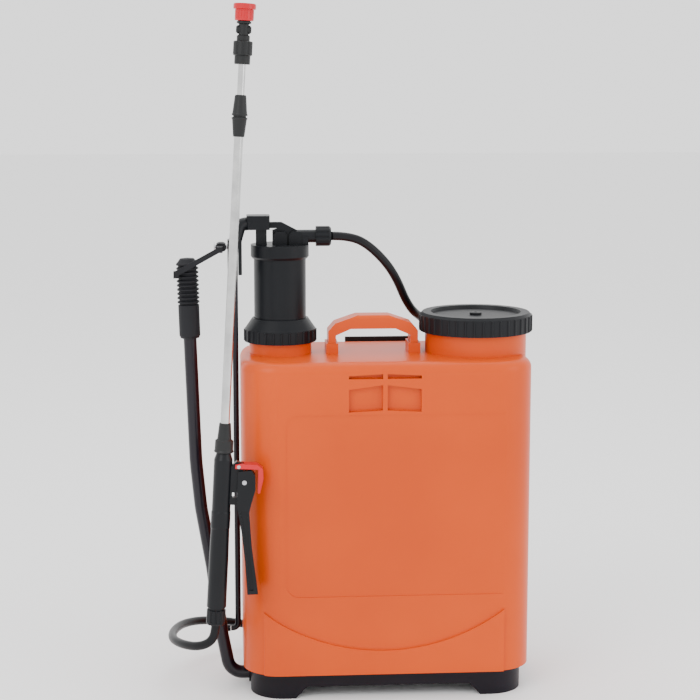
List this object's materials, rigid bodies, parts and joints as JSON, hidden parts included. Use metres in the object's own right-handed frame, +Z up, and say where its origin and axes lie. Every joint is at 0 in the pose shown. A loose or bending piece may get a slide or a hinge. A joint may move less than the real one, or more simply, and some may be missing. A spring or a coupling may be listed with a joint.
{
  "type": "backpack sprayer",
  "caption": "Lever-operated knapsack sprayer: tank on a tray, side pump with air chamber, ribbed filler cap, hose, trigger gun and telescopic lance.",
  "frame": {"origin": "the middle of the tank's plan, in the plane that the tray's feet stand on", "axes": "+X to the right seen from behind the carrier, +Y towards the carrier's back, +Z up"},
  "size_m": [0.4285, 0.2446, 0.7885],
  "materials": {
    "orange_tank": "satin moulded",
    "black_mould": "satin moulded",
    "base_mould": "satin moulded",
    "lance_fittings": "satin moulded",
    "red_mould": "satin moulded",
    "bright_tube": "polished",
    "coated_steel": "smooth coating",
    "zinc_steel": "zinc plated",
    "ball_steel": "polished",
    "grip_rubber": "soft matt",
    "seal_rubber": "matt",
    "hose_rubber": "smooth satin",
    "strap_fabric": "woven webbing",
    "pad_fabric": "woven cloth over foam",
    "fitting_mould": "fine texture"
  },
  "bodies": {
    "root": {"tank": "orange_tank", "carry_handle": "orange_tank", "base_tray": "base_mould", "tray_strap_lugs": "base_mould", "base_screws": "zinc_steel", "lever_bushes": "base_mould", "pump_cylinder": "black_mould", "pump_gasket": "seal_rubber", "foot_valve": "black_mould", "suction_strainer": "black_mould", "pump_nut": "black_mould", "filler_strainer": "black_mould", "strap_bracket": "fitting_mould", "bracket_screws": "zinc_steel", "shoulder_pads": "pad_fabric", "strap_loops": "strap_fabric", "lower_webbing": "strap_fabric", "strap_buckles": "fitting_mould", "hose": "hose_rubber", "gun_body": "black_mould", "trigger_pin": "zinc_steel", "lock_pin": "zinc_steel", "valve_spring": "zinc_steel", "gun_filter": "black_mould", "gun_hose_tail": "black_mould", "gun_hose_nut": "black_mould", "lance_nut": "lance_fittings", "lance_seal": "seal_rubber", "lance_outer_tube": "bright_tube", "lock_sleeve": "lance_fittings", "lock_grommet": "seal_rubber"},
    "foot_ball": {"foot_ball": "ball_steel"},
    "pump_ram": {"air_chamber": "black_mould", "piston": "black_mould", "piston_cup": "seal_rubber", "chamber_top": "black_mould", "dip_tube": "black_mould", "fork_pin": "zinc_steel", "stow_strap": "grip_rubber", "outlet_nut": "black_mould"},
    "piston_ball": {"piston_ball": "ball_steel"},
    "connecting_rod": {"connecting_rod": "coated_steel"},
    "lever": {"lever_bar": "coated_steel", "lever_washer": "zinc_steel", "lever_split_pin": "zinc_steel", "lever_grip": "grip_rubber"},
    "filler_seal": {"filler_seal": "seal_rubber"},
    "filler_cap": {"filler_cap": "black_mould", "vent_disc": "seal_rubber"},
    "trigger": {"trigger": "black_mould"},
    "trigger_lock": {"trigger_lock": "red_mould"},
    "valve_stem": {"valve_stem": "black_mould", "stem_seal": "seal_rubber"},
    "lance_inner": {"lance_inner_tube": "bright_tube", "nozzle_nut": "lance_fittings", "nozzle_body": "lance_fittings", "nozzle_swirl": "lance_fittings"},
    "lock_nut": {"lock_nut": "lance_fittings"},
    "nozzle_cap": {"nozzle_cap": "red_mould"}
  },
  "joints": [
    {"name": "lever_swing", "type": "hinge", "parent": "root", "child": "lever", "pos_m": [-0.15, -0.025, 0.015], "axis": [-1, 0, 0], "range_deg": [0, 65]},
    {"name": "ram_stroke", "type": "slide", "parent": "root", "child": "pump_ram", "axis": [0, 0, -1], "range_m": [0, 0.047]},
    {"name": "rod_swing", "type": "hinge", "parent": "pump_ram", "child": "connecting_rod", "pos_m": [-0.172, -0.015, 0.517], "axis": [1, 0, 0], "range_deg": [0, 3.78]},
    {"name": "foot_ball_lift", "type": "slide", "parent": "root", "child": "foot_ball", "axis": [0, 0, 1], "range_m": [0, 0.003]},
    {"name": "piston_ball_lift", "type": "slide", "parent": "pump_ram", "child": "piston_ball", "axis": [0, 0, 1], "range_m": [0, 0.003]},
    {"name": "cap_lift", "type": "slide", "parent": "root", "child": "filler_seal", "axis": [0, 0, 1], "range_m": [0, 0.0076]},
    {"name": "cap_turn", "type": "hinge", "parent": "filler_seal", "child": "filler_cap", "pos_m": [0.108, 0, 0.43], "axis": [0, 0, 1], "range_deg": [0, 540]},
    {"name": "trigger_squeeze", "type": "hinge", "parent": "root", "child": "trigger", "pos_m": [-0.16424, -0.09509, 0.26129], "axis": [0, 0.9995, -0.0301], "range_deg": [0, 9.5], "stiffness_Nm_per_rad": 1.2, "springref_deg": -8.59},
    {"name": "lock_swing", "type": "hinge", "parent": "root", "child": "trigger_lock", "pos_m": [-0.17022, -0.09455, 0.27916], "axis": [0, -0.9995, 0.0301], "range_deg": [0, 55]},
    {"name": "valve_push", "type": "slide", "parent": "root", "child": "valve_stem", "axis": [-0.9984, 0.0017, 0.0572], "range_m": [0, 0.00141], "deforming": ["valve_spring"]},
    {"name": "lance_extend", "type": "slide", "parent": "root", "child": "lance_inner", "axis": [0.0573, 0.03, 0.9979], "range_m": [0, 0.2]},
    {"name": "lock_nut_turn", "type": "hinge", "parent": "root", "child": "lock_nut", "pos_m": [-0.16494, -0.08258, 0.67683], "axis": [0.0573, 0.03, 0.9979], "range_deg": [0, 90]},
    {"name": "nozzle_cap_turn", "type": "hinge", "parent": "lance_inner", "child": "nozzle_cap", "pos_m": [-0.15921, -0.07957, 0.77662], "axis": [0.0573, 0.03, 0.9979], "range_deg": [0, 360]}
  ],
  "couplings": [
    {"joint": "ram_stroke", "follows": "lever_swing", "m_per_rad": 0.041428},
    {"joint": "rod_swing", "follows": "lever_swing", "ratio": 0.057896},
    {"joint": "cap_lift", "follows": "cap_turn", "m_per_rad": 0.00079577},
    {"joint": "valve_push", "follows": "trigger_squeeze", "m_per_rad": 0.008444}
  ]
}
